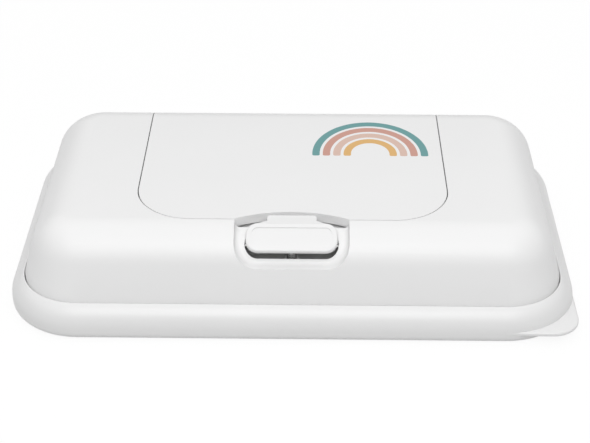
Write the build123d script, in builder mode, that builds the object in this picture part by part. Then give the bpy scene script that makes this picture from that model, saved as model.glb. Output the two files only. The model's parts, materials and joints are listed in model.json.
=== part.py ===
from build123d import *
from math import cos, pi, radians, sin, tan
import os

# A travel case for wet wipes: a hard upper shell with a flush hinged lid and a rocker button, closed from
# below by a soft cover that grips its skirt. Millimetres, +Z up, +X to the right, the hinge at +Y. The origin
# is the middle of the underside.

# Outer form
case_width = 200.0
case_depth = 117.6
case_height = 36.0
draft = 15.0
top_rounding = 14.5
wall = 2.0

# Soft base cover
rim_corner_radius = 26.0
rim_height = 12.7
rim_widest_height = 5.0
rim_foot_radius = 3.0
rim_lip_width = 5.0
rim_lip_rounding = 0.3
groove_floor = 3.2
groove_clearance = 0.35
groove_wall = 1.6
groove_wall_height = 9.0
cover_floor = 1.8
tab_height = 3.4
tab_thickness = 1.5
tab_corner_radius = 10.0
tab_length = 32.0
tab_root = 4.0
tab_rounding = 0.6
seat_gap = 0.3

# Lid and the recess that it lies in
lid_half_width = 54.8
lid_corner_radius = 19.5
lid_wall = 2.0
lid_skirt_depth = 3.4
lid_skirt_wall = 1.8
arch_half_width = 20.0
arch_rise = 4.7
seam_gap = 0.4
recess_depth = 5.0
recess_wall = 2.0

# Hinge
hinge_height = 22.5
knuckle_radius = 3.5
knuckle_clearance = 0.4
shelf_clearance = 0.35
trough_clearance = 0.9
hinge_pin_radius = 1.0
running_clearance = 0.05
shell_knuckle_near = 22.0
shell_knuckle_width = 6.0
knuckle_arm_width = 4.5
spring_bay_half_width = 7.0

# Lid spring
lid_wire_radius = 0.35
lid_coil_radius = 1.75
lid_coil_turns = 7.75
lid_coil_pitch = 1.15
lid_spring_reach = 6.5
spring_tip_gap = 0.3

# Dispensing mouth, its soft insert and the lid's seal
mouth_width = 88.0
mouth_depth = 40.0
mouth_corner_radius = 16.0
mouth_centre = 3.0
insert_flange = 3.0
insert_flange_thickness = 1.2
insert_lip = 2.0
insert_lip_height = 1.2
insert_web = 1.2
insert_fit = 0.05
insert_wall = 2.0
slot_length = 62.0
slot_width = 8.0
slot_end_radius = 6.5
seal_width = 2.2
seal_gap = 0.3
seal_rib = 1.0
seal_rib_height = 1.0
seal_fit = 0.05

# Button and its pocket
pocket_half_width = 19.75
pocket_rise = 3.2
pocket_corner_radius = 8.0
pocket_depth = 3.2
pocket_floor_rounding = 2.0
button_lean = 60.0
button_face_radius = 13.4
pill_width = 31.5
pill_height = 11.0
pill_corner_radius = 4.3
pill_thickness = 1.6
pill_rounding = 0.7
pill_border = 1.9
pill_dish = 0.35
neck_rear_width = 17.0
neck_front_width = 22.0
neck_flare = 2.6
neck_flare_rounding = 1.2
neck_thickness = 2.1
neck_floor_gap = 0.4
nose_gap = 0.25
striker_reach = 1.0
striker_height = 0.8
striker_drop = 0.4
striker_half_width = 6.0
hole_side_gap = 0.4
hole_lower_gap = 0.9
hole_top = 3.0
hole_corner_radius = 4.5
pivot_below_face = 5.0
pivot_drop = 1.0
button_hub_radius = 1.8
button_hub_outer = 15.0
button_hub_inner = 4.0
button_stem_half = 1.3
boss_gap = 0.4
button_boss_radius = 2.5
button_pin_radius = 0.8
chamber_half_width = 20.5
chamber_wall = 1.5
chamber_drop = 2.0
chamber_ahead = 11.4
chamber_behind = 2.6

# Button spring
button_wire_radius = 0.22
button_coil_radius = 1.5
button_coil_turns = 5.0
button_spring_drop = 4.0
button_spring_seat = 4.0
button_stub_radius = 1.0
button_stub_length = 1.2

# Places that follow from the sizes above
draft_slope = tan(radians(draft))
shell_inset = rim_lip_width + groove_clearance
shell_width = case_width - 2 * shell_inset
shell_depth = case_depth - 2 * shell_inset
shell_corner_radius = rim_corner_radius - shell_inset
skirt_bottom = groove_floor + seat_gap
rounding_reach = top_rounding * tan(radians(45 - draft / 2))
top_half_depth = shell_depth / 2 - (case_height - rim_height) * draft_slope - rounding_reach
rounding_centre_height = case_height - top_rounding


def wall_face(height):
    """Distance of the shell's front or back outer face from the middle, at a height on its straight part."""
    return shell_depth / 2 - (height - rim_height) * draft_slope


lid_front = -top_half_depth
pocket_bottom = rounding_centre_height + pocket_rise
chamber_floor = rounding_centre_height - chamber_drop
chamber_front = lid_front - chamber_ahead
chamber_rear = lid_front + chamber_behind
hinge_depth = wall_face(hinge_height) - knuckle_radius / cos(radians(draft))
shelf_height = hinge_height - knuckle_radius - shelf_clearance
trough_front = hinge_depth - knuckle_radius - trough_clearance
deck_top = case_height - recess_depth
deck_bottom = deck_top - recess_wall
lid_inside = case_height - lid_wall
pin_reach = lid_half_width + seam_gap + recess_wall
pivot_reach = chamber_half_width + chamber_wall
knuckle_starts = (shell_knuckle_near, -shell_knuckle_near - shell_knuckle_width)
beyond = case_depth
level_tolerance = 0.001
gap_samples = 300


def housing_form(depth, bottom):
    """The shell's outer form moved inwards by depth, with an upright skirt down to bottom."""
    inset = depth / cos(radians(draft))
    with BuildPart() as form:
        with BuildSketch(Plane.XY.offset(rim_height)):
            RectangleRounded(shell_width - 2 * inset, shell_depth - 2 * inset, shell_corner_radius - inset)
        extrude(amount=case_height - depth - rim_height, taper=draft)
        fillet(form.faces().sort_by(Axis.Z)[-1].edges(), top_rounding - depth)
        with BuildSketch(Plane.XY.offset(bottom)):
            RectangleRounded(shell_width - 2 * inset, shell_depth - 2 * inset, shell_corner_radius - inset)
        extrude(amount=rim_height - bottom)
    return form.part


def lid_plan(grow, arched):
    """The lid's outline seen from above, grown all round, open to the back; arched over the button."""
    half = lid_half_width + grow
    front = lid_front - grow
    corner = lid_corner_radius + grow
    with BuildSketch() as plan:
        with BuildLine():
            Line((half, beyond), (half, front + corner))
            RadiusArc((half, front + corner), (half - corner, front), corner)
            if arched:
                Line((half - corner, front), (arch_half_width - grow, front))
                ThreePointArc(
                    (arch_half_width - grow, front), (0, front + arch_rise), (grow - arch_half_width, front)
                )
                Line((grow - arch_half_width, front), (corner - half, front))
            else:
                Line((half - corner, front), (corner - half, front))
            RadiusArc((corner - half, front), (-half, front + corner), corner)
            Line((-half, front + corner), (-half, beyond))
            Line((-half, beyond), (half, beyond))
        make_face()
    return plan.sketch


def rounded_outline(width, depth, corner, centre, low, high):
    """An upright block of rounded rectangular plan between two heights, for adding or cutting."""
    with BuildPart() as block:
        with BuildSketch(Plane.XY.offset(low)):
            with Locations((0, centre)):
                RectangleRounded(width, depth, corner)
        extrude(amount=high - low)
    return block.part


def along_hinge(radius, start, end):
    """A round bar on the hinge's axis between two places along X."""
    with BuildPart() as bar:
        with BuildSketch(Plane.YZ.offset(start)):
            with Locations((hinge_depth, hinge_height)):
                Circle(radius)
        extrude(amount=end - start)
    return bar.part


def mouth_block(grow, low, high):
    """A block of the dispensing mouth's outline, grown all round, between two heights."""
    return rounded_outline(
        mouth_width + 2 * grow, mouth_depth + 2 * grow, mouth_corner_radius + grow, mouth_centre, low, high
    )


def mouth_ring(outer, inner, low, high):
    """A ring round the mouth between two outlines and two heights."""
    with BuildPart() as ring:
        add(mouth_block(outer, low, high))
        add(mouth_block(inner, low, high), mode=Mode.SUBTRACT)
    return ring.part


def pocket_block(grow):
    """A block of the pocket's outline seen from the front, grown all round, from the middle forwards."""
    with BuildPart() as block:
        with BuildSketch(Plane.XZ) as outline:
            with Locations((0, pocket_bottom - grow)):
                Rectangle(2 * (pocket_half_width + grow), case_height, align=(Align.CENTER, Align.MIN))
            fillet(outline.vertices().group_by(Axis.Y)[0], pocket_corner_radius + grow)
        extrude(amount=beyond)
    return block.part


# The plane that the button is laid out on: it leans with the front rounding and passes through its centre
button_plane = Plane(
    origin=(0, lid_front, rounding_centre_height),
    x_dir=(1, 0, 0),
    z_dir=(0, -cos(radians(button_lean)), sin(radians(button_lean))),
)
button_axis = Axis(button_plane.origin, button_plane.z_dir)
pivot_height = button_face_radius - pivot_below_face
pivot = button_plane.from_local_coords((0, -pivot_drop, pivot_height))


def along_pivot(radius, start, end):
    """A round bar on the button's pivot between two places along X."""
    with BuildPart() as bar:
        with BuildSketch(Plane.YZ.offset(start)):
            with Locations((pivot.Y, pivot.Z)):
                Circle(radius)
        extrude(amount=end - start)
    return bar.part


def coil(plane, radius, pitch, turns, start_angle):
    """Places at each half turn and the end of a coil round a plane's normal, with their headings."""
    halves = int(2 * turns)
    angles = [pi * k for k in range(halves + 1)]
    if 2 * turns > halves:
        angles.append(2 * pi * turns)
    stations = []
    for angle in angles:
        around = start_angle + angle
        across = plane.x_dir * cos(around) + plane.y_dir * sin(around)
        heading = plane.y_dir * cos(around) - plane.x_dir * sin(around)
        climb = pitch * (angle / (2 * pi) - turns / 2)
        stations.append((plane.origin + across * radius + plane.z_dir * climb, heading))
    return stations


def wind(stations):
    """One arc for each half turn, tilted along the coil; the last arc is returned."""
    for (first, heading), (last, next_heading) in zip(stations, stations[1:]):
        arc = TangentArc(first, last, tangent=heading)
    return arc


def least_gap(wire, stations, wire_radius, samples):
    """Least clear gap of a coil to itself, between places half a turn or more apart along the wire."""
    half_turn = (stations[1][0] - stations[0][0]).length * pi / 2
    step = wire.length / samples
    places = [wire @ (k / samples) for k in range(samples + 1)]
    apart = int(half_turn / step) + 1
    pairs = [(first, last) for k, first in enumerate(places) for last in places[k + apart:]]
    return min((last - first).length for first, last in pairs) - 2 * wire_radius


# The tab fills the rim's corner out to a tighter one, and stops in the rim's solid wall
with BuildPart() as pull_tab:
    with BuildSketch(Plane.XY.offset(tab_height)) as tab_plan:
        with Locations((case_width / 2 - tab_length / 2, tab_length / 2 - case_depth / 2)):
            Rectangle(tab_length, tab_length)
        fillet(tab_plan.vertices().group_by(Axis.X)[-1].sort_by(Axis.Y)[0], tab_corner_radius)
    extrude(amount=tab_thickness)
    outward_sides = pull_tab.faces().sort_by(lambda face: face.center().X - face.center().Y)[-3:]
    fillet(outward_sides.edges().filter_by(Axis.Z, reverse=True), tab_rounding)
    add(
        rounded_outline(
            case_width - 2 * tab_root,
            case_depth - 2 * tab_root,
            rim_corner_radius - tab_root,
            0,
            0,
            case_height,
        ),
        mode=Mode.SUBTRACT,
    )

# The base cover: a swept rim whose groove takes the shell's skirt, a floor and the corner pull tab
with BuildPart() as base_cover:
    side = case_width / 2
    front = -case_depth / 2
    with BuildLine() as rim_path:
        Line((0, front), (side - rim_corner_radius, front))
        RadiusArc((side - rim_corner_radius, front), (side, front + rim_corner_radius), -rim_corner_radius)
        Line((side, front + rim_corner_radius), (side, -front - rim_corner_radius))
        RadiusArc((side, -front - rim_corner_radius), (side - rim_corner_radius, -front), -rim_corner_radius)
        Line((side - rim_corner_radius, -front), (0, -front))
    groove_inner = shell_inset + wall / cos(radians(draft)) + groove_clearance
    rim_inner = groove_inner + groove_wall
    with BuildSketch(Plane(origin=(0, front, 0), x_dir=(0, 1, 0), z_dir=(1, 0, 0))) as rim_profile:
        with BuildLine():
            RadiusArc((rim_foot_radius, 0), (0, rim_foot_radius), rim_foot_radius)
            Line((0, rim_foot_radius), (0, rim_widest_height))
            TangentArc((0, rim_widest_height), (rim_lip_width, rim_height), tangent=(0, 1))
            Polyline(
                (rim_lip_width, rim_height),
                (rim_lip_width, groove_floor),
                (groove_inner, groove_floor),
                (groove_inner, groove_wall_height),
                (rim_inner, groove_wall_height),
                (rim_inner, 0),
                (rim_foot_radius, 0),
            )
        make_face()
        fillet(rim_profile.vertices().group_by(Axis.Y)[-1], rim_lip_rounding)
    sweep(path=rim_path.line)
    mirror(about=Plane.YZ)
    add(
        rounded_outline(
            case_width - 2 * groove_inner,
            case_depth - 2 * groove_inner,
            rim_corner_radius - groove_inner,
            0,
            0,
            cover_floor,
        )
    )
    add(pull_tab.part)

# The space above the deck that the lid and its hinge lie in, and the walls that line it
with BuildPart() as hinge_trough:
    with BuildSketch(Plane.XY.offset(shelf_height)):
        with Locations((0, trough_front)):
            Rectangle(2 * (lid_half_width + seam_gap), beyond, align=(Align.CENTER, Align.MIN))
    extrude(amount=beyond)

with BuildPart() as recess_space:
    add(lid_plan(seam_gap, arched=False))
    extrude(amount=beyond)
    add(housing_form(recess_depth, skirt_bottom), mode=Mode.SUBTRACT)
    with BuildSketch(Plane.XY):
        Rectangle(2 * beyond, 2 * beyond)
    extrude(amount=shelf_height, mode=Mode.SUBTRACT)
    add(hinge_trough.part)

with BuildPart() as under_deck:
    add(housing_form(recess_depth + recess_wall, skirt_bottom))
    split(bisect_by=Plane.XZ.offset(recess_wall - trough_front), keep=Keep.TOP)

with BuildPart() as recess_walls:
    with BuildSketch(Plane.XY.offset(shelf_height - recess_wall)):
        add(lid_plan(seam_gap + recess_wall, arched=False))
    extrude(amount=beyond)
    add(housing_form(0, skirt_bottom), mode=Mode.INTERSECT)
    add(under_deck.part, mode=Mode.SUBTRACT)

# The button's pocket: a cut that stops at an even depth under the front rounding, with a rounded floor edge
with BuildPart() as pocket_space:
    add(pocket_block(0))
    add(housing_form(pocket_depth, skirt_bottom), mode=Mode.SUBTRACT)
    side_walls = pocket_space.faces().filter_by(lambda face: abs(face.normal_at().Y) < level_tolerance)
    floor_faces = pocket_space.faces() - side_walls
    floor_edges = (side_walls.edges() & floor_faces.edges()).filter_by(
        lambda edge: -shell_depth / 2 < edge.center().Y < lid_front + top_rounding
    )
    fillet(floor_edges, pocket_floor_rounding)

with BuildPart() as pocket_walls:
    add(pocket_block(recess_wall))
    add(housing_form(0, skirt_bottom), mode=Mode.INTERSECT)
    add(housing_form(recess_depth, skirt_bottom), mode=Mode.SUBTRACT)
    split(bisect_by=Plane.XZ.offset(-lid_front), keep=Keep.TOP)

# The hole in the pocket's floor that the button's stems go through, cut from below the pivot outwards
with BuildPart() as button_hole:
    hole_low = -pill_height / 2 - hole_lower_gap
    with BuildSketch(button_plane.offset(pivot_height - button_boss_radius)):
        with Locations((0, (hole_low + hole_top) / 2)):
            RectangleRounded(pill_width + 2 * hole_side_gap, hole_top - hole_low, hole_corner_radius)
    extrude(amount=top_rounding)

# The closed chamber behind the pocket, with the button's bosses and its spring's seat
with BuildPart() as button_chamber:
    chamber_middle = (0, (chamber_front + chamber_rear) / 2)
    chamber_depth = chamber_rear - chamber_front
    with BuildSketch(Plane.XY.offset(chamber_floor - chamber_wall)):
        with Locations(chamber_middle):
            Rectangle(2 * pivot_reach, chamber_depth + 2 * chamber_wall)
    extrude(amount=case_height - chamber_floor)
    with BuildSketch(Plane.XY.offset(chamber_floor)):
        with Locations(chamber_middle):
            Rectangle(2 * chamber_half_width, chamber_depth)
    extrude(amount=case_height, mode=Mode.SUBTRACT)
    boss_start = button_hub_outer + boss_gap
    add(along_pivot(button_boss_radius, boss_start, pivot_reach))
    add(along_pivot(button_boss_radius, -pivot_reach, -boss_start))
    with BuildSketch(button_plane.offset(button_spring_seat)):
        with Locations((0, -button_spring_drop)):
            Circle(button_boss_radius)
    extrude(amount=-case_height)
    add(housing_form(wall / 2, skirt_bottom), mode=Mode.INTERSECT)
    split(bisect_by=Plane.XY.offset(chamber_floor - chamber_wall), keep=Keep.TOP)

# The main shell
with BuildPart() as main_shell:
    add(housing_form(0, skirt_bottom))
    add(housing_form(wall, skirt_bottom), mode=Mode.SUBTRACT)
    add(recess_walls.part)
    add(pocket_walls.part)
    add(button_chamber.part)
    add(recess_space.part, mode=Mode.SUBTRACT)
    add(pocket_space.part, mode=Mode.SUBTRACT)
    add(button_hole.part, mode=Mode.SUBTRACT)
    for start in knuckle_starts:
        add(along_hinge(knuckle_radius, start, start + shell_knuckle_width))
        with BuildSketch(Plane.XY.offset(shelf_height - recess_wall / 2)):
            with Locations((start + shell_knuckle_width / 2, hinge_depth - knuckle_radius)):
                Rectangle(shell_knuckle_width, knuckle_arm_width, align=(Align.CENTER, Align.MIN))
        extrude(amount=hinge_height - shelf_height + recess_wall / 2)
    add(along_hinge(hinge_pin_radius + running_clearance, -pin_reach, pin_reach), mode=Mode.SUBTRACT)
    add(mouth_block(0, rim_height, case_height), mode=Mode.SUBTRACT)
    add(along_pivot(button_pin_radius + running_clearance, -pivot_reach, pivot_reach), mode=Mode.SUBTRACT)

# The lid: the same outer form, thin in the middle, with a deeper skirt, an arch and a rear hinge barrel
with BuildPart() as lid_hollow:
    add(lid_plan(-lid_skirt_wall, arched=True))
    extrude(amount=beyond)
    add(housing_form(lid_wall, skirt_bottom), mode=Mode.INTERSECT)

arch_top = lid_front + arch_rise
with BuildPart() as lid:
    add(lid_plan(0, arched=True))
    extrude(amount=beyond)
    add(housing_form(0, skirt_bottom), mode=Mode.INTERSECT)
    add(housing_form(lid_skirt_depth, skirt_bottom), mode=Mode.SUBTRACT)
    add(lid_hollow.part, mode=Mode.SUBTRACT)
    split(bisect_by=Plane.XY.offset(hinge_height + knuckle_radius * sin(radians(draft))), keep=Keep.TOP)
    add(along_hinge(knuckle_radius, -lid_half_width, lid_half_width))
    bays = [(-spring_bay_half_width, spring_bay_half_width)]
    for start in knuckle_starts:
        bays.append((start - knuckle_clearance, start + shell_knuckle_width + knuckle_clearance))
    for start, end in bays:
        add(along_hinge(knuckle_radius + knuckle_clearance, start, end), mode=Mode.SUBTRACT)
    add(
        along_hinge(hinge_pin_radius + running_clearance, -lid_half_width, lid_half_width),
        mode=Mode.SUBTRACT,
    )
    for inner in (insert_lip + seal_fit, insert_lip - seal_width - seal_fit - seal_rib):
        add(mouth_ring(inner + seal_rib, inner, lid_inside - seal_rib_height, lid_inside))
    with BuildSketch(Plane.XY.offset(case_height - lid_skirt_depth - striker_drop)):
        with Locations((0, arch_top - striker_reach)):
            Rectangle(
                2 * striker_half_width, striker_reach + lid_skirt_wall, align=(Align.CENTER, Align.MIN)
            )
    extrude(amount=striker_height)

# The seal ring between its two ribs, just above the insert's lip
with BuildPart() as lid_seal:
    add(
        mouth_ring(
            insert_lip, insert_lip - seal_width, deck_top + insert_lip_height + seal_gap, lid_inside
        )
    )

# The soft insert: clipped over the deck's edge, with a web that the wipes are drawn through
with BuildPart() as dispenser_insert:
    web_bottom = deck_bottom - insert_flange_thickness
    add(mouth_block(insert_flange, web_bottom, deck_bottom))
    add(mouth_block(-insert_fit, web_bottom, deck_top))
    add(mouth_block(insert_lip, deck_top, deck_top + insert_lip_height))
    add(mouth_block(-insert_wall, web_bottom + insert_web, case_height), mode=Mode.SUBTRACT)
    with BuildSketch(Plane.XY.offset(web_bottom)):
        with Locations((0, mouth_centre)):
            Rectangle(slot_length, slot_width)
        with Locations((-slot_length / 2, mouth_centre), (slot_length / 2, mouth_centre)):
            Circle(slot_end_radius)
    extrude(amount=insert_web, mode=Mode.SUBTRACT)

with BuildPart() as hinge_pin:
    add(along_hinge(hinge_pin_radius, -pin_reach, pin_reach))

# The rocker button: a dished pill on two stems, with a neck that reaches the lid's lip
neck_floor = case_height - pocket_depth + neck_floor_gap
nose_end = arch_top - striker_reach - nose_gap
pill_top = button_plane.from_local_coords((0, pill_height / 2 - pill_rounding, button_face_radius))
with BuildPart() as button_neck:
    with BuildSketch(Plane.XY.offset(neck_floor)) as neck_plan:
        with BuildLine():
            Polyline(
                (-neck_front_width / 2 - neck_flare, pill_top.Y),
                (-neck_front_width / 2, pill_top.Y + neck_flare / 2),
                (-neck_rear_width / 2, pill_top.Y + neck_flare),
                (-neck_rear_width / 2, nose_end),
                (neck_rear_width / 2, nose_end),
                (neck_rear_width / 2, pill_top.Y + neck_flare),
                (neck_front_width / 2, pill_top.Y + neck_flare / 2),
                (neck_front_width / 2 + neck_flare, pill_top.Y),
                close=True,
            )
        make_face()
        fillet(neck_plan.vertices().group_by(Axis.Y)[-1], neck_flare_rounding)
    extrude(amount=neck_thickness)

with BuildPart() as release_button:
    with BuildSketch(button_plane.offset(button_face_radius)):
        RectangleRounded(pill_width, pill_height, pill_corner_radius)
    extrude(amount=-pill_thickness)
    fillet(release_button.faces().sort_by(button_axis)[-1].edges(), pill_rounding)
    with BuildSketch(button_plane.offset(button_face_radius)):
        RectangleRounded(
            pill_width - 2 * pill_border, pill_height - 2 * pill_border, pill_corner_radius - pill_border
        )
    extrude(amount=-pill_dish, mode=Mode.SUBTRACT)
    add(button_neck.part)
    for inner, outer in ((button_hub_inner, button_hub_outer), (-button_hub_outer, -button_hub_inner)):
        add(along_pivot(button_hub_radius, inner, outer))
        with BuildSketch(button_plane.offset(pivot_height)):
            with Locations(((inner + outer) / 2, -pivot_drop)):
                Rectangle(outer - inner, 2 * button_stem_half)
        extrude(amount=pivot_below_face - pill_thickness)
    with BuildSketch(button_plane.offset(button_face_radius - pill_thickness)):
        with Locations((0, -button_spring_drop)):
            Circle(button_stub_radius)
    extrude(amount=-button_stub_length)
    add(
        along_pivot(button_pin_radius + running_clearance, -button_hub_outer, button_hub_outer),
        mode=Mode.SUBTRACT,
    )

with BuildPart() as button_pin:
    add(along_pivot(button_pin_radius, -pivot_reach, pivot_reach))


# The lid's torsion spring: one leg up the lid's rear skin, one forward to the trough's wall
hinge_plane = Plane(origin=(0, hinge_depth, hinge_height), x_dir=(0, 1, 0), z_dir=(1, 0, 0))
lid_stations = coil(hinge_plane, lid_coil_radius, lid_coil_pitch, lid_coil_turns, pi)
with BuildPart() as lid_spring:
    with BuildLine() as lid_wire:
        start, start_heading = lid_stations[0]
        Line(start - start_heading * lid_spring_reach, start)
        last_arc = wind(lid_stations)
        end = last_arc @ 1
        Line(end, end + (last_arc % 1) * (knuckle_radius + trough_clearance - spring_tip_gap))
    with BuildSketch(Plane(origin=lid_wire.line @ 0, z_dir=lid_wire.line % 0)):
        Circle(lid_wire_radius)
    sweep(path=lid_wire.line)
lid_spring_gap = least_gap(lid_wire.wires()[0], lid_stations, lid_wire_radius, gap_samples)
print("lid spring, least gap to itself:", round(lid_spring_gap, 2), "mm")

# The button's compression spring, between the seat in the chamber and the back of the pill
pill_back = button_face_radius - pill_thickness
spring_space = pill_back - button_spring_seat - 2 * spring_tip_gap - 2 * button_wire_radius
spring_plane = Plane(
    origin=button_plane.from_local_coords((0, -button_spring_drop, (pill_back + button_spring_seat) / 2)),
    x_dir=button_plane.x_dir,
    z_dir=button_plane.z_dir,
)
button_coil_pitch = spring_space / button_coil_turns
button_stations = coil(spring_plane, button_coil_radius, button_coil_pitch, button_coil_turns, 0)
with BuildPart() as button_spring:
    with BuildLine() as button_wire:
        wind(button_stations)
    with BuildSketch(Plane(origin=button_wire.line @ 0, z_dir=button_wire.line % 0)):
        Circle(button_wire_radius)
    sweep(path=button_wire.line)
button_spring_gap = least_gap(button_wire.wires()[0], button_stations, button_wire_radius, gap_samples)
print("button spring, least gap to itself:", round(button_spring_gap, 2), "mm")

os.makedirs("parts", exist_ok=True)
for name, piece in (
    ("base_cover", base_cover),
    ("main_shell", main_shell),
    ("lid", lid),
    ("lid_seal", lid_seal),
    ("dispenser_insert", dispenser_insert),
    ("hinge_pin", hinge_pin),
    ("lid_spring", lid_spring),
    ("release_button", release_button),
    ("button_pin", button_pin),
    ("button_spring", button_spring),
):
    piece.part.label = name
    export_step(piece.part, f"parts/{name}.step")
    print(name, [round(v.volume, 1) for v in piece.solids()], piece.part.is_valid)
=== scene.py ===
# %% [markdown]
# A travel case for wet wipes: a white moulded shell with a flush lid and a rocker button, closed from below
# by a soft cover with a pull tab in one corner. The model comes in as a fixed frame, in metres, with every
# piece at its real size and place. This lesson adds only what the eye sees: smooth moulded surfaces, the
# grain of each plastic, the print on the lid, wound springs, and plain studio light.

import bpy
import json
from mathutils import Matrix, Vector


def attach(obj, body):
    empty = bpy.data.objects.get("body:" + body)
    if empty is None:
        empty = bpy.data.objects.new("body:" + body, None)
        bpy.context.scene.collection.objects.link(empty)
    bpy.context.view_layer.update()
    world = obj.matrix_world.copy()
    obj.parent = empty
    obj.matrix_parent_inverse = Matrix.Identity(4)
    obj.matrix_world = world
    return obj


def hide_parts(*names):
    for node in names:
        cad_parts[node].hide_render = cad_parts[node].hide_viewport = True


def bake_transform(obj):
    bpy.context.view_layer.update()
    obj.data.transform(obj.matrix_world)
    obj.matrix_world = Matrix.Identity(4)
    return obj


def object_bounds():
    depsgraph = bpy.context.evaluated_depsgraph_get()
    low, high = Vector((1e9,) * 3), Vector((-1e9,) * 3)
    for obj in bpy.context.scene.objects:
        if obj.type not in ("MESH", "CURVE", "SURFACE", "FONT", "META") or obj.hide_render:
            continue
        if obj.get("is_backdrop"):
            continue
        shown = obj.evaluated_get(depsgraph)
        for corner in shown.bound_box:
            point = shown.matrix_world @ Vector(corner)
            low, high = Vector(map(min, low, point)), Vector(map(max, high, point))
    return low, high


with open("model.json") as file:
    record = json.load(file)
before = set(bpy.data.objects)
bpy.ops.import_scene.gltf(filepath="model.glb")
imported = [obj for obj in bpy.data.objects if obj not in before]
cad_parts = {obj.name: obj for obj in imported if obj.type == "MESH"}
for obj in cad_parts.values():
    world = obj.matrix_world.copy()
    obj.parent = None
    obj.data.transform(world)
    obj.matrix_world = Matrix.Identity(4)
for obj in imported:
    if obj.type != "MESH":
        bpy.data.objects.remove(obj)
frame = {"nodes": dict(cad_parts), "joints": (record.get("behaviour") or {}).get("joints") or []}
case_box = [list(corner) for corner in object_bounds()]
print("pieces:", sorted(frame["nodes"]))

# %% Modules
import json
from math import cos, pi, radians, sin

import bmesh
import bpy
from mathutils import Matrix, Vector

# One millimetre in metres, the frame's unit.
MM = 0.001


# %% [markdown]
# Two kinds of node tree follow: shader groups, for an effect that several plastics share, and Geometry Nodes
# trees, for what follows a path. Both get named inputs through the same small helper, so that each use can
# be given its own values, as a maker gives each mould its own texture. An input without a value here gets
# one wherever the tree is used.

# %% Helpers for node trees
def new_tree(kind, name, inputs, outputs):
    """A node tree with named sockets, its input node and its output node."""
    tree = bpy.data.node_groups.new(name, kind)
    for label, socket_type, *value in inputs:
        socket = tree.interface.new_socket(label, in_out="INPUT", socket_type=socket_type)
        if value:
            socket.default_value = value[0]
    for label, socket_type in outputs:
        tree.interface.new_socket(label, in_out="OUTPUT", socket_type=socket_type)
    return tree, tree.nodes.new("NodeGroupInput"), tree.nodes.new("NodeGroupOutput")


def fill_socket(tree, socket, value):
    """Joins a socket to another node's output, or gives it a plain value."""
    if isinstance(value, bpy.types.NodeSocket):
        tree.links.new(value, socket)
    else:
        socket.default_value = value


def add_node(tree, kind, **values):
    """A node with its named inputs filled."""
    node = tree.nodes.new(kind)
    for label, value in values.items():
        fill_socket(tree, node.inputs[label.replace("_", " ")], value)
    return node


def compute(tree, operation, first, second=0.0):
    """The result of one step of arithmetic."""
    step = tree.nodes.new("ShaderNodeMath")
    step.operation = operation
    fill_socket(tree, step.inputs[0], first)
    fill_socket(tree, step.inputs[1], second)
    return step.outputs[0]


# %% [markdown]
# A Mix node holds a set of sockets for each kind of value, all with the same few names, so its colour
# sockets are found by their place in the list. Noise lies around a half, and many effects need only how far
# it swings to either side. Both come back in several materials below.

# %% Helpers for colour and noise
mix_share = 0
mix_first_colour = 6
mix_second_colour = 7
mix_mixed_colour = 2
noise_middle = 0.5


def mix_colours(tree, share, first, second):
    """A colour between two others: the first at a share of 0, the second at a share of 1."""
    mixer = tree.nodes.new("ShaderNodeMix")
    mixer.data_type = "RGBA"
    fill_socket(tree, mixer.inputs[mix_share], share)
    fill_socket(tree, mixer.inputs[mix_first_colour], first)
    fill_socket(tree, mixer.inputs[mix_second_colour], second)
    return mixer.outputs[mix_mixed_colour]


def swing(tree, noise, width):
    """How far a noise lies from its middle, scaled to a width."""
    return compute(tree, "MULTIPLY", compute(tree, "SUBTRACT", noise.outputs["Fac"], noise_middle), width)


# %% [markdown]
# Moulded plastic looks smooth, but its mould was blasted with fine grit, which breaks up the gloss, and the
# wall cools unevenly, which leaves faint waves. Both could be modelled, at the price of millions of faces.
# A height for the Bump node does the same here. Noise in the object's own coordinates stays fixed to the
# surface when the lid opens. The grain's size is in millimetres.

# %% Shader group: moulded grain
waves_per_metre = 38.0
gloss_patches_per_metre = 22.0


def make_moulded_grain():
    """Height and roughness of a fine grit texture over slow waves."""
    tree, given, result = new_tree(
        "ShaderNodeTree",
        "moulded_grain",
        [
            ("Grain Size", "NodeSocketFloat"),
            ("Grain Depth", "NodeSocketFloat"),
            ("Wave Depth", "NodeSocketFloat", 1.0),
            ("Roughness", "NodeSocketFloat"),
            ("Roughness Spread", "NodeSocketFloat", 0.06),
        ],
        [("Height", "NodeSocketFloat"), ("Roughness", "NodeSocketFloat")],
    )
    place = tree.nodes.new("ShaderNodeTexCoord").outputs["Object"]
    grains_per_metre = compute(tree, "DIVIDE", 1 / MM, given.outputs["Grain Size"])
    grit = add_node(tree, "ShaderNodeTexNoise", Vector=place, Scale=grains_per_metre, Detail=2.0)
    waves = add_node(tree, "ShaderNodeTexNoise", Vector=place, Scale=waves_per_metre, Detail=1.0)
    patches = add_node(tree, "ShaderNodeTexNoise", Vector=place, Scale=gloss_patches_per_metre, Detail=3.0)
    fine = compute(tree, "MULTIPLY", grit.outputs["Fac"], given.outputs["Grain Depth"])
    slow = compute(tree, "MULTIPLY", waves.outputs["Fac"], given.outputs["Wave Depth"])
    change = swing(tree, patches, given.outputs["Roughness Spread"])
    fill_socket(tree, result.inputs["Height"], compute(tree, "ADD", fine, slow))
    fill_socket(tree, result.inputs["Roughness"], compute(tree, "ADD", change, given.outputs["Roughness"]))
    return tree


moulded_grain = make_moulded_grain()
print("shader group:", moulded_grain.name, "with", len(moulded_grain.nodes), "nodes")


# %% [markdown]
# No white plastic is one even white. Pigment lies a little thicker in places, and hands and dust leave the
# faintest tint in the hollows of the grain. The second group moves the colour between two close tones, in
# patches whose size is in millimetres.

# %% Shader group: pigment
speckles_per_metre = 2400.0


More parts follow.
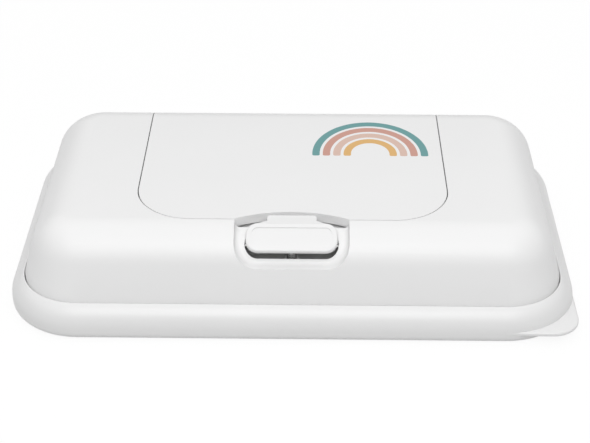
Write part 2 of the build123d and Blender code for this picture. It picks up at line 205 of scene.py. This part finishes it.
def make_pigment():
    """A colour that drifts between two close tones, with a sparse fine speckle."""
    tree, given, result = new_tree(
        "ShaderNodeTree",
        "pigment",
        [
            ("Main Tone", "NodeSocketColor"),
            ("Other Tone", "NodeSocketColor"),
            ("Patch Size", "NodeSocketFloat", 30.0),
            ("Speckle", "NodeSocketFloat", 0.15),
        ],
        [("Color", "NodeSocketColor")],
    )
    place = tree.nodes.new("ShaderNodeTexCoord").outputs["Object"]
    patches_per_metre = compute(tree, "DIVIDE", 1 / MM, given.outputs["Patch Size"])
    patch = add_node(tree, "ShaderNodeTexNoise", Vector=place, Scale=patches_per_metre, Detail=2.0)
    grit = add_node(tree, "ShaderNodeTexNoise", Vector=place, Scale=speckles_per_metre, Detail=1.0)
    share = compute(tree, "ADD", patch.outputs["Fac"], swing(tree, grit, given.outputs["Speckle"]))
    tone = mix_colours(tree, share, given.outputs["Main Tone"], given.outputs["Other Tone"])
    fill_socket(tree, result.inputs["Color"], tone)
    return tree


pigment = make_pigment()
print("shader group:", pigment.name, "with", len(pigment.nodes), "nodes")


# %% [markdown]
# Every plastic of this case is the same recipe with other values: pigment feeds the colour, grain feeds the
# roughness and the bump, and the constant values sit on the shader itself. One function writes the recipe
# down, and each piece keeps its own short list of values. The shell's list serves for the lid too, because
# both are moulded from the same plastic. The soft mouth's silicone also lets some light in under its surface.

# %% Plastic and rubber
relief_depth = 0.02 * MM


def place_group(tree, group, **values):
    """A group placed in a material, with its own values."""
    node = tree.nodes.new("ShaderNodeGroup")
    node.node_tree = group
    for label, value in values.items():
        fill_socket(tree, node.inputs[label.replace("_", " ")], value)
    return node


def new_material(name):
    """An empty material with its node tree and its shader."""
    material = bpy.data.materials.new(name)
    material.use_nodes = True
    return material, material.node_tree, material.node_tree.nodes["Principled BSDF"]


def make_plastic(name, tone, other_tone, roughness, grain_size, grain_depth, bump):
    """A moulded plastic or rubber: drifting pigment, fine grain and slow waves."""
    material, tree, shader = new_material(name)
    colour = place_group(tree, pigment, Main_Tone=(*tone, 1.0), Other_Tone=(*other_tone, 1.0))
    grain = place_group(
        tree, moulded_grain, Grain_Size=grain_size, Grain_Depth=grain_depth, Roughness=roughness
    )
    relief = add_node(
        tree, "ShaderNodeBump", Height=grain.outputs["Height"], Strength=bump, Distance=relief_depth
    )
    fill_socket(tree, shader.inputs["Base Color"], colour.outputs["Color"])
    fill_socket(tree, shader.inputs["Roughness"], grain.outputs["Roughness"])
    fill_socket(tree, shader.inputs["Normal"], relief.outputs["Normal"])
    return material


shell_finish = {
    "tone": (0.87, 0.87, 0.87),
    "other_tone": (0.85, 0.85, 0.85),
    "roughness": 0.42,
    "grain_size": 0.35,
    "grain_depth": 1.0,
    "bump": 0.35,
}
shell_plastic = make_plastic("shell_plastic", **shell_finish)
cover_plastic = make_plastic(
    "cover_plastic",
    tone=(0.82, 0.82, 0.82),
    other_tone=(0.80, 0.80, 0.80),
    roughness=0.36,
    grain_size=0.5,
    grain_depth=0.8,
    bump=0.3,
)
button_plastic = make_plastic(
    "button_plastic",
    tone=(0.85, 0.85, 0.85),
    other_tone=(0.835, 0.835, 0.835),
    roughness=0.38,
    grain_size=0.3,
    grain_depth=0.8,
    bump=0.25,
)
soft_silicone = make_plastic(
    "soft_silicone",
    tone=(0.80, 0.81, 0.81),
    other_tone=(0.77, 0.785, 0.79),
    roughness=0.55,
    grain_size=0.4,
    grain_depth=0.6,
    bump=0.25,
)
seal_silicone = make_plastic(
    "seal_silicone",
    tone=(0.70, 0.72, 0.73),
    other_tone=(0.67, 0.69, 0.70),
    roughness=0.6,
    grain_size=0.4,
    grain_depth=0.6,
    bump=0.25,
)
light_let_in = 0.25
light_reach = 0.8 * MM
silicone_shader = soft_silicone.node_tree.nodes["Principled BSDF"]
silicone_shader.inputs["Subsurface Weight"].default_value = light_let_in
silicone_shader.inputs["Subsurface Radius"].default_value = (light_reach,) * 3
plastics = (shell_plastic, cover_plastic, button_plastic, soft_silicone, seal_silicone)
print("plastic and rubber:", [material.name for material in plastics])


# %% [markdown]
# The two pins and the springs are drawn steel. Drawing leaves fine lines along a rod, so the noise is
# stretched along the pins, which both lie along X. The springs' wire is so thin that the same lines only
# dull it. The springs' steel is also set much darker than the pins' as painted shade: the button's spring,
# seen through the slot under the pill, stands in for the dark of the closed chamber.

# %% Drawn steel
draw_lines_along = 120.0
draw_lines_across = 6000.0
draw_line_bump = 0.2
draw_line_depth = 0.01 * MM
draw_line_shade = 0.85
smoother_by = 0.08
rougher_by = 0.1


def make_drawn_steel(name, tone, roughness):
    """Steel with draw lines along X."""
    material, tree, shader = new_material(name)
    place = tree.nodes.new("ShaderNodeTexCoord").outputs["Object"]
    stretch = (draw_lines_along, draw_lines_across, draw_lines_across)
    stretched = add_node(tree, "ShaderNodeMapping", Vector=place, Scale=stretch).outputs["Vector"]
    lines = add_node(tree, "ShaderNodeTexNoise", Vector=stretched, Scale=1.0, Detail=3.0).outputs["Fac"]
    shine = add_node(
        tree, "ShaderNodeMapRange", Value=lines, To_Min=roughness - smoother_by, To_Max=roughness + rougher_by
    )
    relief = add_node(
        tree, "ShaderNodeBump", Height=lines, Strength=draw_line_bump, Distance=draw_line_depth
    )
    darker_tone = [draw_line_shade * level for level in tone]
    colour = mix_colours(tree, lines, (*tone, 1.0), (*darker_tone, 1.0))
    fill_socket(tree, shader.inputs["Base Color"], colour)
    fill_socket(tree, shader.inputs["Roughness"], shine.outputs["Result"])
    fill_socket(tree, shader.inputs["Normal"], relief.outputs["Normal"])
    shader.inputs["Metallic"].default_value = 1.0
    return material


pin_steel = make_drawn_steel("pin_steel", tone=(0.62, 0.62, 0.61), roughness=0.3)
# The springs' dark tone is painted shade, standing in for the dark chamber behind the button.
spring_steel = make_drawn_steel("spring_steel", tone=(0.3, 0.3, 0.3), roughness=0.45)
print("steel:", pin_steel.name, "and", spring_steel.name)

# %% [markdown]
# The lid carries a plain rainbow of four bands. A decal would need its own thin mesh, which stands proud of
# the lid and flickers in some viewers. Ink has no shape of its own, so it is computed in the lid's material
# instead: the distance to the arcs' centre tells which band a point lies in, and below the centre the bands
# run straight down to their feet. Above it the bands rise a little higher than half circles, so heights are
# divided by that rise first. Everything is a real size in the lid's own plane.

# %% The print's sizes
print_centre_x = 28.4 * MM
print_centre_y = 9.0 * MM
print_rise = 1.12
print_foot = 1.3 * MM
print_lowest_height = 35.5 * MM
band_outer_radius = 21.5 * MM
band_pitch = 3.87 * MM
band_width = 2.75 * MM
foot_rounding = 0.7 * MM
ink_edge = 0.09 * MM
ink_wobble = 0.12 * MM
ink_wobbles_per_metre = 420.0
ink_gloss = 0.06
ink_height = 0.6
inks = (
    ("teal", (0.145, 0.342, 0.343)),
    ("rose", (0.61, 0.33, 0.268)),
    ("blush", (0.71, 0.51, 0.43)),
    ("mustard", (0.745, 0.452, 0.172)),
)
print("print:", len(inks), "bands, outer radius", round(band_outer_radius / MM, 1), "mm")


# %% Shader group: printed band
def make_printed_band():
    """Mask of one arched band with straight, round-cornered feet, of a given middle radius."""
    tree, given, result = new_tree(
        "ShaderNodeTree",
        "printed_band",
        [
            ("Across", "NodeSocketFloat"),
            ("Up", "NodeSocketFloat"),
            ("Middle Radius", "NodeSocketFloat"),
            ("Half Width", "NodeSocketFloat"),
            ("Foot", "NodeSocketFloat"),
            ("Rounding", "NodeSocketFloat"),
            ("Edge", "NodeSocketFloat"),
        ],
        [("Mask", "NodeSocketFloat")],
    )

    def length_over(first, second):
        """The length of the line whose two parts stand at a right angle."""
        first_square = compute(tree, "MULTIPLY", first, first)
        second_square = compute(tree, "MULTIPLY", second, second)
        return compute(tree, "SQRT", compute(tree, "ADD", first_square, second_square))

    rounding = given.outputs["Rounding"]
    above = compute(tree, "MAXIMUM", given.outputs["Up"], 0.0)
    from_centre = length_over(given.outputs["Across"], above)
    from_middle = compute(tree, "SUBTRACT", from_centre, given.outputs["Middle Radius"])
    inner_half = compute(tree, "SUBTRACT", given.outputs["Half Width"], rounding)
    side = compute(tree, "SUBTRACT", compute(tree, "ABSOLUTE", from_middle), inner_half)
    inner_foot = compute(tree, "SUBTRACT", given.outputs["Foot"], rounding)
    below = compute(tree, "SUBTRACT", compute(tree, "MULTIPLY", given.outputs["Up"], -1.0), inner_foot)
    from_core = length_over(compute(tree, "MAXIMUM", side, 0.0), compute(tree, "MAXIMUM", below, 0.0))
    past_edge = compute(tree, "DIVIDE", compute(tree, "SUBTRACT", from_core, rounding), given.outputs["Edge"])
    mask = add_node(tree, "ShaderNodeClamp", Value=compute(tree, "SUBTRACT", 0.5, past_edge))
    fill_socket(tree, result.inputs["Mask"], mask.outputs["Result"])
    return tree


printed_band = make_printed_band()
print("shader group:", printed_band.name, "with", len(printed_band.nodes), "nodes")


# %% The lid's plastic, with its print
def make_lid_plastic():
    """The shell's plastic with four printed bands, a little glossier and thicker than the bare wall."""
    material = make_plastic("lid_plastic", **shell_finish)
    tree = material.node_tree
    shader = tree.nodes["Principled BSDF"]
    place = tree.nodes.new("ShaderNodeTexCoord").outputs["Object"]
    unsteady = add_node(tree, "ShaderNodeTexNoise", Vector=place, Scale=ink_wobbles_per_metre, Detail=1.0)
    wobble = swing(tree, unsteady, ink_wobble)
    axes = add_node(tree, "ShaderNodeSeparateXYZ", Vector=place)
    from_centre_x = compute(tree, "SUBTRACT", axes.outputs["X"], print_centre_x)
    from_centre_y = compute(tree, "SUBTRACT", axes.outputs["Y"], print_centre_y)
    across = compute(tree, "ADD", from_centre_x, wobble)
    up = compute(tree, "ADD", compute(tree, "DIVIDE", from_centre_y, print_rise), wobble)
    on_top = compute(tree, "GREATER_THAN", axes.outputs["Z"], print_lowest_height)
    colour = shader.inputs["Base Color"].links[0].from_socket
    inked = 0.0
    for order, (ink_name, ink) in enumerate(inks):
        band = place_group(
            tree,
            printed_band,
            Across=across,
            Up=up,
            Middle_Radius=band_outer_radius - band_width / 2 - order * band_pitch,
            Half_Width=band_width / 2,
            Foot=print_foot,
            Rounding=foot_rounding,
            Edge=ink_edge,
        )
        band.label = ink_name
        mask = compute(tree, "MULTIPLY", band.outputs["Mask"], on_top)
        colour = mix_colours(tree, mask, colour, (*ink, 1.0))
        inked = compute(tree, "MAXIMUM", inked, mask)
    fill_socket(tree, shader.inputs["Base Color"], colour)
    bare_roughness = shader.inputs["Roughness"].links[0].from_socket
    gloss = compute(tree, "MULTIPLY", inked, ink_gloss)
    fill_socket(tree, shader.inputs["Roughness"], compute(tree, "SUBTRACT", bare_roughness, gloss))
    relief = shader.inputs["Normal"].links[0].from_node
    bare_height = relief.inputs["Height"].links[0].from_socket
    ink_layer = compute(tree, "MULTIPLY", inked, ink_height)
    fill_socket(tree, relief.inputs["Height"], compute(tree, "ADD", bare_height, ink_layer))
    return material


lid_plastic = make_lid_plastic()
print("lid's plastic:", lid_plastic.name, "with", len(lid_plastic.node_tree.nodes), "nodes")


# %% [markdown]
# No moulded edge is a knife edge: where a top face turns down into an upright wall, round the lid, its
# opening and the button's pocket, the real case has a small break that catches the light as a fine line. The
# Bevel modifier could make it, but it would also take the edges inside the case. Here the edges are chosen
# in the mesh, by their angle, by the slopes of their two faces and by their height.

# %% Broken edges
flat_angle = radians(0.3)
corner_angle = radians(60)
upright_slope = 0.25
top_slope = 0.4
lowest_break = 24 * MM
break_width = 0.25 * MM


def break_edges(form):
    """A small flat along each edge between a top face and an upright wall."""
    bmesh.ops.dissolve_limit(form, angle_limit=flat_angle, verts=form.verts, edges=form.edges)
    chosen = []
    for edge in form.edges:
        if len(edge.link_faces) != 2 or not edge.is_convex or edge.calc_face_angle() < corner_angle:
            continue
        slopes = [face.normal.z for face in edge.link_faces]
        height = (edge.verts[0].co.z + edge.verts[1].co.z) / 2
        upright = min(abs(slope) for slope in slopes) < upright_slope
        if upright and max(slopes) > top_slope and height > lowest_break:
            chosen.append(edge)
    bmesh.ops.bevel(
        form,
        geom=chosen,
        offset=break_width,
        offset_type="OFFSET",
        segments=1,
        affect="EDGES",
        clamp_overlap=True,
    )
    print("edges broken:", len(chosen))


# %% [markdown]
# The frame's own meshes are loose triangles, so light breaks at every facet. Each moulded piece is therefore
# a copy whose doubles are merged, shaded smooth, with sharp edges kept where the walls really turn. The copy
# stays at the origin with its place in its mesh, stands for its node and rides on the same body. The shell
# and the lid, whose edges show, get theirs broken too.

# %% Smooth copies of the moulded pieces
smooth_angle = radians(32)
merge_distance = 0.002 * MM


def smooth_copy(node, material, body, breaks_edges):
    """A merged and smooth-shaded copy of a node, in its finished material."""
    mesh = frame["nodes"][node].data.copy()
    mesh.name = node + "_surface"
    form = bmesh.new()
    form.from_mesh(mesh)
    bmesh.ops.remove_doubles(form, verts=form.verts, dist=merge_distance)
    bmesh.ops.dissolve_degenerate(form, edges=form.edges, dist=merge_distance / 2)
    if breaks_edges:
        break_edges(form)
    form.to_mesh(mesh)
    open_edges = sum(1 for edge in form.edges if len(edge.link_faces) != 2)
    form.free()
    mesh.materials.clear()
    mesh.materials.append(material)
    if "custom_normal" in mesh.attributes:
        mesh.attributes.remove(mesh.attributes["custom_normal"])
    mesh.shade_smooth()
    mesh.set_sharp_from_angle(angle=smooth_angle)
    piece = bpy.data.objects.new(node + "_surface", mesh)
    bpy.context.scene.collection.objects.link(piece)
    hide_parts(node)
    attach(piece, body)
    print(node, "faces:", len(mesh.polygons), "open edges:", open_edges)


for node, material, body, breaks_edges in (
    ("main_shell", shell_plastic, "shell", True),
    ("base_cover", cover_plastic, "cover", False),
    ("lid", lid_plastic, "lid", True),
    ("release_button", button_plastic, "button", False),
    ("dispenser_insert", soft_silicone, "shell", False),
    ("lid_seal", seal_silicone, "lid", False),
    ("hinge_pin", pin_steel, "shell", False),
    ("button_pin", pin_steel, "shell", False),
):
    smooth_copy(node, material, body, breaks_edges)


# %% [markdown]
# A spring follows a rule: so many turns of wire round an axis, and a straight leg at each end. A Geometry
# Nodes tree draws it from named sizes, so one tree winds both springs of the case. It places a row of points
# by their number: the first and the last are the legs' tips, and all between them climb round the coil. The
# coil stands on Z, and a matrix then lays it on the hinge or behind the button.

# %% Geometry Nodes: wound wire
wire_sides = 14


def make_wound_wire():
    """A tree that winds a round wire with two straight legs into a coil of named sizes."""
    tree, given, result = new_tree(
        "GeometryNodeTree",
        "wound_wire",
        [
            ("Geometry", "NodeSocketGeometry"),
            ("Points", "NodeSocketInt"),
            ("Turns", "NodeSocketFloat"),
            ("Pitch", "NodeSocketFloat"),
            ("Coil Radius", "NodeSocketFloat"),
            ("Wire Radius", "NodeSocketFloat"),
            ("First Leg", "NodeSocketFloat"),
            ("Last Leg", "NodeSocketFloat"),
            ("Material", "NodeSocketMaterial"),
        ],
        [("Geometry", "NodeSocketGeometry")],
    )
    radius = given.outputs["Coil Radius"]
    number = tree.nodes.new("GeometryNodeInputIndex").outputs["Index"]
    last_number = compute(tree, "SUBTRACT", given.outputs["Points"], 1.0)
    coil_steps = compute(tree, "SUBTRACT", last_number, 2.0)
    steps_done = compute(tree, "MAXIMUM", compute(tree, "SUBTRACT", number, 1.0), 0.0)
    steps_done = compute(tree, "MINIMUM", steps_done, coil_steps)
    share_done = compute(tree, "DIVIDE", steps_done, coil_steps)
    turned = compute(tree, "MULTIPLY", share_done, given.outputs["Turns"])
    angle = compute(tree, "MULTIPLY", turned, 2 * pi)
    across = compute(tree, "COSINE", angle)
    along = compute(tree, "SINE", angle)
    climbed = compute(tree, "SUBTRACT", turned, compute(tree, "MULTIPLY", given.outputs["Turns"], 0.5))
    is_first = compute(tree, "LESS_THAN", number, 0.5)
    is_last = compute(tree, "GREATER_THAN", number, compute(tree, "SUBTRACT", last_number, 0.5))
    back = compute(tree, "MULTIPLY", is_first, given.outputs["First Leg"])
    leg = compute(tree, "SUBTRACT", compute(tree, "MULTIPLY", is_last, given.outputs["Last Leg"]), back)
    x_place = compute(
        tree, "SUBTRACT", compute(tree, "MULTIPLY", radius, across), compute(tree, "MULTIPLY", leg, along)
    )
    y_place = compute(
        tree, "ADD", compute(tree, "MULTIPLY", radius, along), compute(tree, "MULTIPLY", leg, across)
    )
    z_place = compute(tree, "MULTIPLY", climbed, given.outputs["Pitch"])
    place = add_node(tree, "ShaderNodeCombineXYZ", X=x_place, Y=y_place, Z=z_place)
    row = add_node(tree, "GeometryNodeMeshLine", Count=given.outputs["Points"])
    wound = add_node(
        tree, "GeometryNodeSetPosition", Geometry=row.outputs["Mesh"], Position=place.outputs["Vector"]
    )
    wire = add_node(tree, "GeometryNodeMeshToCurve", Mesh=wound.outputs["Geometry"])
    section = add_node(
        tree, "GeometryNodeCurvePrimitiveCircle", Resolution=wire_sides, Radius=given.outputs["Wire Radius"]
    )
    tube = add_node(
        tree,
        "GeometryNodeCurveToMesh",
        Curve=wire.outputs["Curve"],
        Profile_Curve=section.outputs["Curve"],
        Fill_Caps=True,
    )
    smooth = add_node(tree, "GeometryNodeSetShadeSmooth", Geometry=tube.outputs["Mesh"])
    real = add_node(tree, "GeometryNodeRealizeInstances", Geometry=smooth.outputs["Geometry"])
    finish = add_node(
        tree,
        "GeometryNodeSetMaterial",
        Geometry=real.outputs["Geometry"],
        Material=given.outputs["Material"],
    )
    fill_socket(tree, result.inputs["Geometry"], finish.outputs["Geometry"])
    return tree


wound_wire = make_wound_wire()
print("geometry tree:", wound_wire.name, "with", len(wound_wire.nodes), "nodes")


# %% A plain mesh from a tree
def grow(name, tree, **values):
    """The plain mesh that a Geometry Nodes tree makes with these values."""
    holder = bpy.data.objects.new(name + "_tree", bpy.data.meshes.new(name + "_tree"))
    bpy.context.scene.collection.objects.link(holder)
    modifier = holder.modifiers.new("nodes", "NODES")
    modifier.node_group = tree
    sockets = {item.name: item.identifier for item in tree.interface.items_tree if item.in_out == "INPUT"}
    for label, value in values.items():
        modifier[sockets[label.replace("_", " ")]] = value
    bpy.context.view_layer.update()
    evaluated = holder.evaluated_get(bpy.context.evaluated_depsgraph_get())
    mesh = bpy.data.meshes.new_from_object(evaluated)
    mesh.name = name
    holder.modifiers.remove(modifier)
    bpy.data.objects.remove(holder)
    return mesh


# %% A spring laid in its place
points_per_turn = 40


def lay_wire(name, node, origin, x_axis, z_axis, start_angle, turns, coil_length, **values):
    """A wound wire laid on an axis through origin, standing for a node of the frame."""
    mesh = grow(
        name,
        wound_wire,
        Points=int(turns * points_per_turn),
        Turns=turns,
        Pitch=coil_length / turns,
        Material=spring_steel,
        **values,
    )
    y_axis = z_axis.cross(x_axis)
    turn = Matrix((x_axis, y_axis, z_axis)).transposed().to_4x4() @ Matrix.Rotation(start_angle, 4, "Z")
    mesh.transform(Matrix.Translation(origin) @ turn)
    piece = bpy.data.objects.new(name, mesh)
    bpy.context.scene.collection.objects.link(piece)
    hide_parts(node)
    print(name, "faces:", len(mesh.polygons))
    return piece


# %% [markdown]
# The lid's torsion spring sits on the hinge pin. One leg lies against the lid's rear skin, the other against
# the trough's wall, so the coil winds up as the lid closes.

# %% Lid spring
joints = {joint["name"]: joint for joint in frame["joints"]}
hinge_place = Vector(joints["lid_hinge"]["pos_m"])
lid_coil_length = 8.91 * MM
lid_spring = lay_wire(
    "lid_torsion_spring",
    "lid_spring",
    origin=hinge_place,
    x_axis=Vector((0, 1, 0)),
    z_axis=Vector((1, 0, 0)),
    start_angle=pi,
    turns=7.75,
    coil_length=lid_coil_length,
    Coil_Radius=1.75 * MM,
    Wire_Radius=0.35 * MM,
    First_Leg=6.5 * MM,
    Last_Leg=4.1 * MM,
)
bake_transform(lid_spring)

# %% [markdown]
# The button's compression spring stands between a seat in the closed chamber and the back of the pill, and
# pushes the pill out again. It leans with the button.

# %% Button spring
button_lean = radians(60)
button_normal = Vector((0, -cos(button_lean), sin(button_lean)))
button_slope = Vector((0, sin(button_lean), cos(button_lean)))
pivot_place = Vector(joints["button_press"]["pos_m"])
spring_below_pivot = 3.0 * MM
spring_behind_pivot = 0.5 * MM
button_coil_length = 6.76 * MM
spring_middle = pivot_place - button_slope * spring_below_pivot - button_normal * spring_behind_pivot
button_spring = lay_wire(
    "button_compression_spring",
    "button_spring",
    origin=spring_middle,
    x_axis=Vector((1, 0, 0)),
    z_axis=button_normal,
    start_angle=0.0,
    turns=5.0,
    coil_length=button_coil_length,
    Coil_Radius=1.5 * MM,
    Wire_Radius=0.22 * MM,
    First_Leg=0.15 * MM,
    Last_Leg=0.15 * MM,
)
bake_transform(button_spring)

# %% [markdown]
# The case lies on a plain pale floor. On a product picture the floor is pure white, yet it should still hold
# the case's soft shadow. The floor is part diffuse, which takes the shadow, and part white glow that only
# the camera and reflections see, so that no extra light reaches the case. What it throws back onto the walls
# comes from a softer grey, measured against the lower wall of the real case.

# %% Floor
floor_size = 6.0
glow_share = 0.9
white = (1.0, 1.0, 1.0, 1.0)
bounce_grey = (0.6, 0.6, 0.6, 1.0)


def make_floor():
    """A wide floor under the case whose white is partly its own glow."""
    mesh = bpy.data.meshes.new("floor")
    half = floor_size / 2
    corners = [(-half, -half, 0), (half, -half, 0), (half, half, 0), (-half, half, 0)]
    mesh.from_pydata(corners, [], [(0, 1, 2, 3)])
    floor = bpy.data.objects.new("floor", mesh)
    bpy.context.scene.collection.objects.link(floor)
    material = bpy.data.materials.new("floor_white")
    material.use_nodes = True
    tree = material.node_tree
    tree.nodes.clear()
    rays = tree.nodes.new("ShaderNodeLightPath")
    seen = compute(tree, "ADD", rays.outputs["Is Camera Ray"], rays.outputs["Is Glossy Ray"])
    seen = compute(tree, "MINIMUM", compute(tree, "ADD", seen, rays.outputs["Is Transmission Ray"]), 1.0)
    paint = add_node(tree, "ShaderNodeBsdfDiffuse", Color=mix_colours(tree, seen, bounce_grey, white))
    glow = add_node(tree, "ShaderNodeEmission", Color=white, Strength=1.0)
    both = tree.nodes.new("ShaderNodeMixShader")
    fill_socket(tree, both.inputs[0], compute(tree, "MULTIPLY", seen, glow_share))
    fill_socket(tree, both.inputs[1], paint.outputs[0])
    fill_socket(tree, both.inputs[2], glow.outputs[0])
    add_node(tree, "ShaderNodeOutputMaterial", Surface=both.outputs[0])
    mesh.materials.append(material)
    floor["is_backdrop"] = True


make_floor()
print("floor:", floor_size, "m wide")

# %% [markdown]
# Plain studio light: one soft box above and in front, and a white sky that is strongest overhead and fades
# to nothing at the horizon, as under a large overhead diffuser. The rounded front edge faces the soft box and
# comes out brightest. The lid lies a little darker, and upright walls live mostly on what the floor throws
# back, so the rim's sides turn grey, as in the picture.

# %% Soft box
lamp_elevation = radians(50)
lamp_distance = 2.0
lamp_size = 1.2
lamp_power = 16.4
lamp_place = Vector((0.0, -lamp_distance * cos(lamp_elevation), lamp_distance * sin(lamp_elevation)))

lamp = bpy.data.lights.new("soft_box", "AREA")
lamp.shape = "SQUARE"
lamp.size = lamp_size
lamp.energy = lamp_power
soft_box = bpy.data.objects.new("soft_box", lamp)
soft_box.location = lamp_place
soft_box.rotation_euler = (-lamp_place).to_track_quat("-Z", "Y").to_euler()
bpy.context.scene.collection.objects.link(soft_box)
print("soft box:", lamp_power, "W at", lamp_distance, "m")

# %% Sky
zenith_strength = 1.08
world = bpy.data.worlds.new("studio")
bpy.context.scene.world = world
world.use_nodes = True
sky = world.node_tree
sky.nodes.clear()
rays = sky.nodes.new("ShaderNodeLightPath")
seen_directly = compute(sky, "ADD", rays.outputs["Is Camera Ray"], rays.outputs["Is Transmission Ray"])
way = sky.nodes.new("ShaderNodeTexCoord").outputs["Generated"]
height = add_node(sky, "ShaderNodeSeparateXYZ", Vector=way).outputs["Z"]
fill_strength = compute(sky, "MULTIPLY", compute(sky, "MAXIMUM", height, 0.0), zenith_strength)
fill = add_node(sky, "ShaderNodeBackground", Color=white, Strength=fill_strength)
backdrop = add_node(sky, "ShaderNodeBackground", Color=white, Strength=1.0)
choice = sky.nodes.new("ShaderNodeMixShader")
fill_socket(sky, choice.inputs[0], compute(sky, "MINIMUM", seen_directly, 1.0))
fill_socket(sky, choice.inputs[1], fill.outputs[0])
fill_socket(sky, choice.inputs[2], backdrop.outputs[0])
add_node(sky, "ShaderNodeOutputWorld", Surface=choice.outputs[0])
bpy.context.scene.view_settings.view_transform = "Standard"
print("sky:", zenith_strength, "overhead, colours shown as", bpy.context.scene.view_settings.view_transform)

# %% [markdown]
# The camera stands where the photographer's stood: in front of the case, a little to its right, looking down
# by a little over a third of a right angle from half a metre away, through a long lens on a 36 mm sensor.

# %% Camera
look_down = radians(32.92)
look_aside = radians(-0.67)
roll = radians(0.12)
camera_place = Vector((5.807, -442.238, 298.004)) * MM
picture_width = 590
focal_pixels = 1403.8
sensor_width = 36.0

ahead = Vector((sin(look_aside) * cos(look_down), cos(look_aside) * cos(look_down), -sin(look_down)))
level_right = ahead.cross(Vector((0, 0, 1))).normalized()
level_up = level_right.cross(ahead)
right = level_right * cos(roll) + level_up * sin(roll)
up = level_up * cos(roll) - level_right * sin(roll)
lens = bpy.data.cameras.new("photographer")
lens.sensor_width = sensor_width
lens.lens = focal_pixels / picture_width * sensor_width
camera = bpy.data.objects.new("photographer", lens)
axes = Matrix((right, up, -ahead)).transposed()
camera.matrix_world = Matrix.Translation(camera_place) @ axes.to_4x4()
bpy.context.scene.collection.objects.link(camera)
bpy.context.scene.camera = camera
print("lens:", round(lens.lens, 1), "mm")

# %% [markdown]
# A finish must not change the object's size. The box that the case filled when it came in and the box of
# everything that is now seen are set side by side, and the growth at each side is printed.

visual_box = [list(corner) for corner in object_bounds()]
sides = zip(case_box[0] + case_box[1], visual_box[0] + visual_box[1])
print("grown by, mm:", [round((seen_side - case_side) / MM, 3) for case_side, seen_side in sides])
